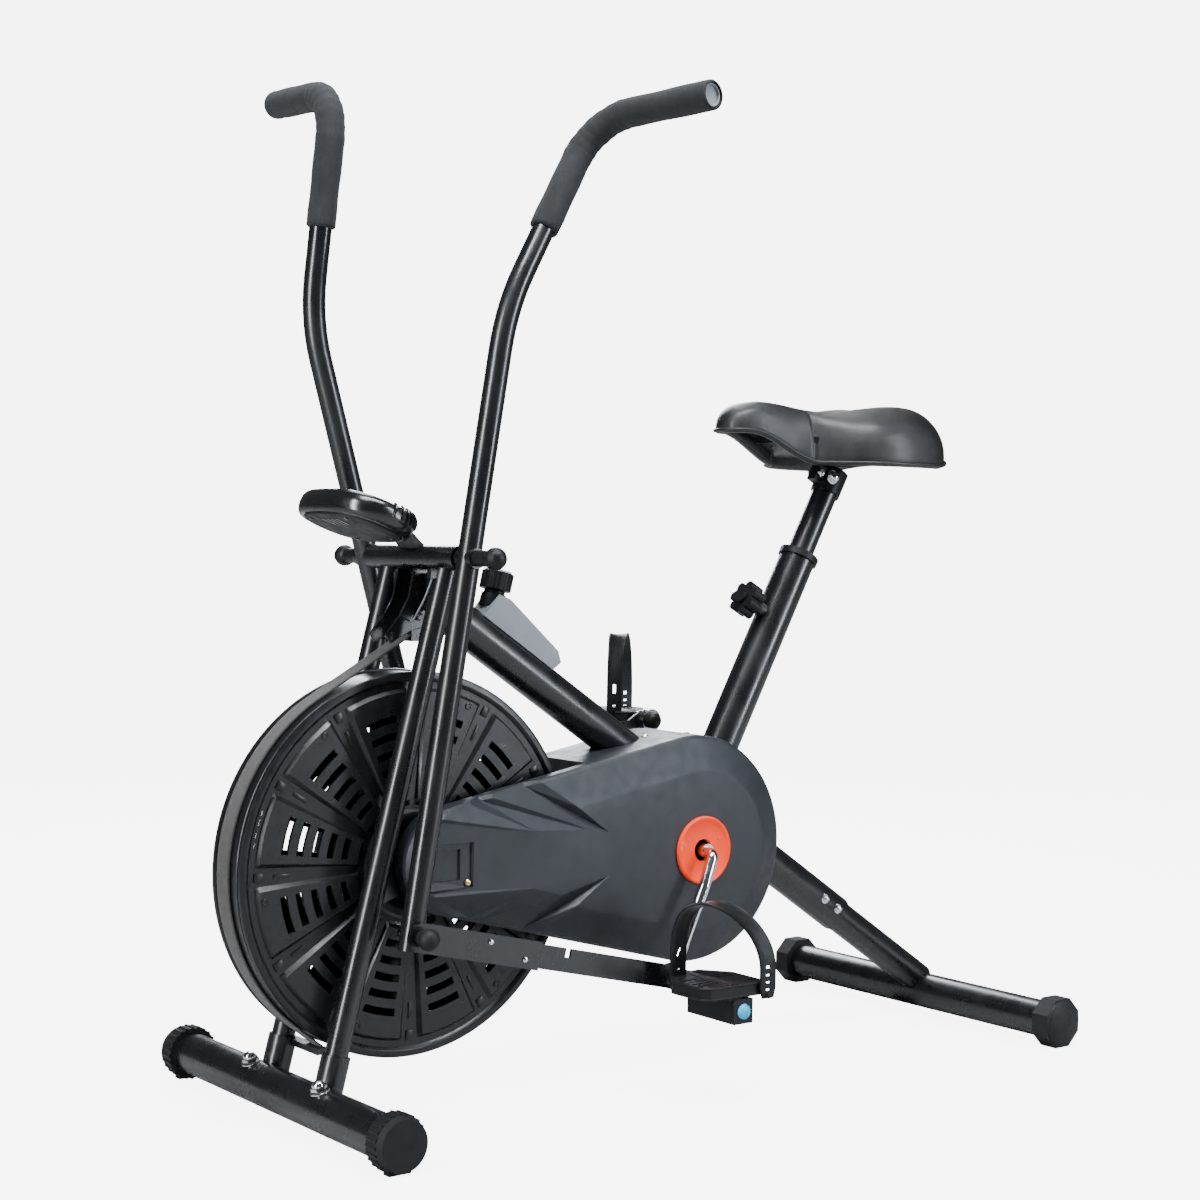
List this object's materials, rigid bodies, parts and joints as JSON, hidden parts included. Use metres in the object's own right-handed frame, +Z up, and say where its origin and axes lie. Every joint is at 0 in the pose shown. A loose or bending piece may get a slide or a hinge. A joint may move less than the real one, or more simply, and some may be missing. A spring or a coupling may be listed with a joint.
{
  "type": "air bike",
  "caption": "Upright exercise bike with a fan wheel, swinging handle arms linked to the pedal crank, a raised saddle and floor stabilizers.",
  "frame": {"origin": "floor point under the centre of the overall bounding box", "axes": "+X towards the rider's rear (saddle end), +Y towards the rider's right, +Z up; the fan wheel is at -X"},
  "size_m": [1.1719, 0.5734, 1.258],
  "materials": {
    "frame_paint": "satin",
    "black_plastic": "matte",
    "chrome": "polished",
    "steel": "brushed",
    "brass": "satin",
    "wheel_black": "satin",
    "case_plastic": "textured",
    "orange_plastic": "satin",
    "strap_web": "woven",
    "foam": "matte",
    "vinyl": "grained",
    "blue_plastic": "gloss",
    "grey_plastic": "matte",
    "lens": "gloss",
    "wire_grey": "satin"
  },
  "bodies": {
    "frame": {"main_tube": "frame_paint", "seat_tube": "frame_paint", "seat_bush": "black_plastic", "bottom_bracket": "frame_paint", "crossbar": "frame_paint", "head_gusset": "frame_paint", "fork_tubes": "frame_paint", "fan_plates": "frame_paint", "bearings": "steel", "front_stabilizer": "frame_paint", "front_feet": "black_plastic", "rear_stabilizer": "frame_paint", "rear_feet": "black_plastic", "rear_leg": "frame_paint", "frame_bolts": "chrome", "brake_strap": "strap_web", "fork_brackets": "frame_paint", "chain": "steel", "case_left": "case_plastic", "case_right": "case_plastic", "crank_trims": "orange_plastic", "case_screws": "brass", "pivot_axle": "black_plastic", "tension_housing": "black_plastic", "console_case": "black_plastic", "console_back": "grey_plastic", "console_lens": "lens", "console_bracket": "frame_paint", "sensor_wire": "wire_grey"},
    "fan": {"fan_wheel": "wheel_black", "fan_shaft": "steel", "fan_sprocket": "steel"},
    "crank": {"crank": "chrome", "chain_ring": "steel", "crank_caps": "black_plastic"},
    "left_arm": {"arm_left": "frame_paint", "grip_left": "foam", "arm_bolt_left": "chrome"},
    "right_arm": {"arm_right": "frame_paint", "grip_right": "foam", "arm_bolt_right": "chrome"},
    "left_rod": {"rod_left": "frame_paint", "rod_caps_left": "black_plastic"},
    "right_rod": {"rod_right": "frame_paint", "rod_caps_right": "black_plastic"},
    "left_pedal": {"pedal_left": "black_plastic", "pedal_strap_left": "black_plastic", "pedal_cap_left": "blue_plastic"},
    "right_pedal": {"pedal_right": "black_plastic", "pedal_strap_right": "black_plastic", "pedal_cap_right": "blue_plastic"},
    "seat_post": {"seat_post": "frame_paint", "seat_clamp": "black_plastic", "seat_clamp_bolt": "chrome"},
    "saddle": {"saddle_base": "frame_paint", "saddle_pad": "vinyl"},
    "seat_knob": {"seat_knob": "black_plastic"},
    "tension_knob": {"tension_knob": "black_plastic", "tension_knob_top": "grey_plastic"},
    "console_button": {"console_button": "black_plastic"}
  },
  "joints": [
    {"name": "crank_spin", "type": "hinge", "parent": "frame", "child": "crank", "pos_m": [0.056, 0, 0.286], "axis": [0, 1, 0], "continuous": true},
    {"name": "fan_spin", "type": "hinge", "parent": "frame", "child": "fan", "pos_m": [-0.355, 0, 0.294], "axis": [0, 1, 0], "continuous": true},
    {"name": "left_rod_turn", "type": "hinge", "parent": "crank", "child": "left_rod", "pos_m": [-0.02105, 0, 0.13671], "axis": [0, 1, 0], "continuous": true},
    {"name": "right_rod_turn", "type": "hinge", "parent": "crank", "child": "right_rod", "pos_m": [0.13305, 0, 0.43529], "axis": [0, 1, 0], "continuous": true},
    {"name": "left_pedal_spin", "type": "hinge", "parent": "crank", "child": "left_pedal", "pos_m": [-0.02105, 0, 0.13671], "axis": [0, 1, 0], "continuous": true},
    {"name": "right_pedal_spin", "type": "hinge", "parent": "crank", "child": "right_pedal", "pos_m": [0.13305, 0, 0.43529], "axis": [0, 1, 0], "continuous": true},
    {"name": "left_arm_swing", "type": "hinge", "parent": "frame", "child": "left_arm", "pos_m": [-0.332, 0, 0.659], "axis": [0, -1, 0], "range_deg": [-5, 31]},
    {"name": "right_arm_swing", "type": "hinge", "parent": "frame", "child": "right_arm", "pos_m": [-0.332, 0, 0.659], "axis": [0, -1, 0], "range_deg": [-31, 5]},
    {"name": "seat_height", "type": "slide", "parent": "frame", "child": "seat_post", "axis": [0.4756, 0, 0.8796], "range_m": [-0.075, 0.05]},
    {"name": "saddle_tilt", "type": "hinge", "parent": "seat_post", "child": "saddle", "pos_m": [0.3725, 0, 0.80626], "axis": [0, 1, 0], "range_deg": [-10, 10]},
    {"name": "seat_knob_pull", "type": "slide", "parent": "frame", "child": "seat_knob", "axis": [-0.8796, 0, 0.4756], "range_m": [0, 0.01], "stiffness_N_per_m": 400},
    {"name": "tension_knob_turn", "type": "hinge", "parent": "frame", "child": "tension_knob", "pos_m": [-0.21593, 0, 0.61966], "axis": [0.2267, 0, 0.974], "range_deg": [0, 270]},
    {"name": "console_button_press", "type": "slide", "parent": "frame", "child": "console_button", "axis": [-0.342, 0, -0.9397], "range_m": [0, 0.002], "stiffness_N_per_m": 500}
  ],
  "couplings": [
    {"joint": "fan_spin", "follows": "crank_spin", "ratio": 3},
    {"joint": "left_rod_turn", "follows": "crank_spin", "ratio": -1},
    {"joint": "right_rod_turn", "follows": "crank_spin", "ratio": -1},
    {"joint": "right_arm_swing", "follows": "left_arm_swing", "ratio": -1}
  ]
}
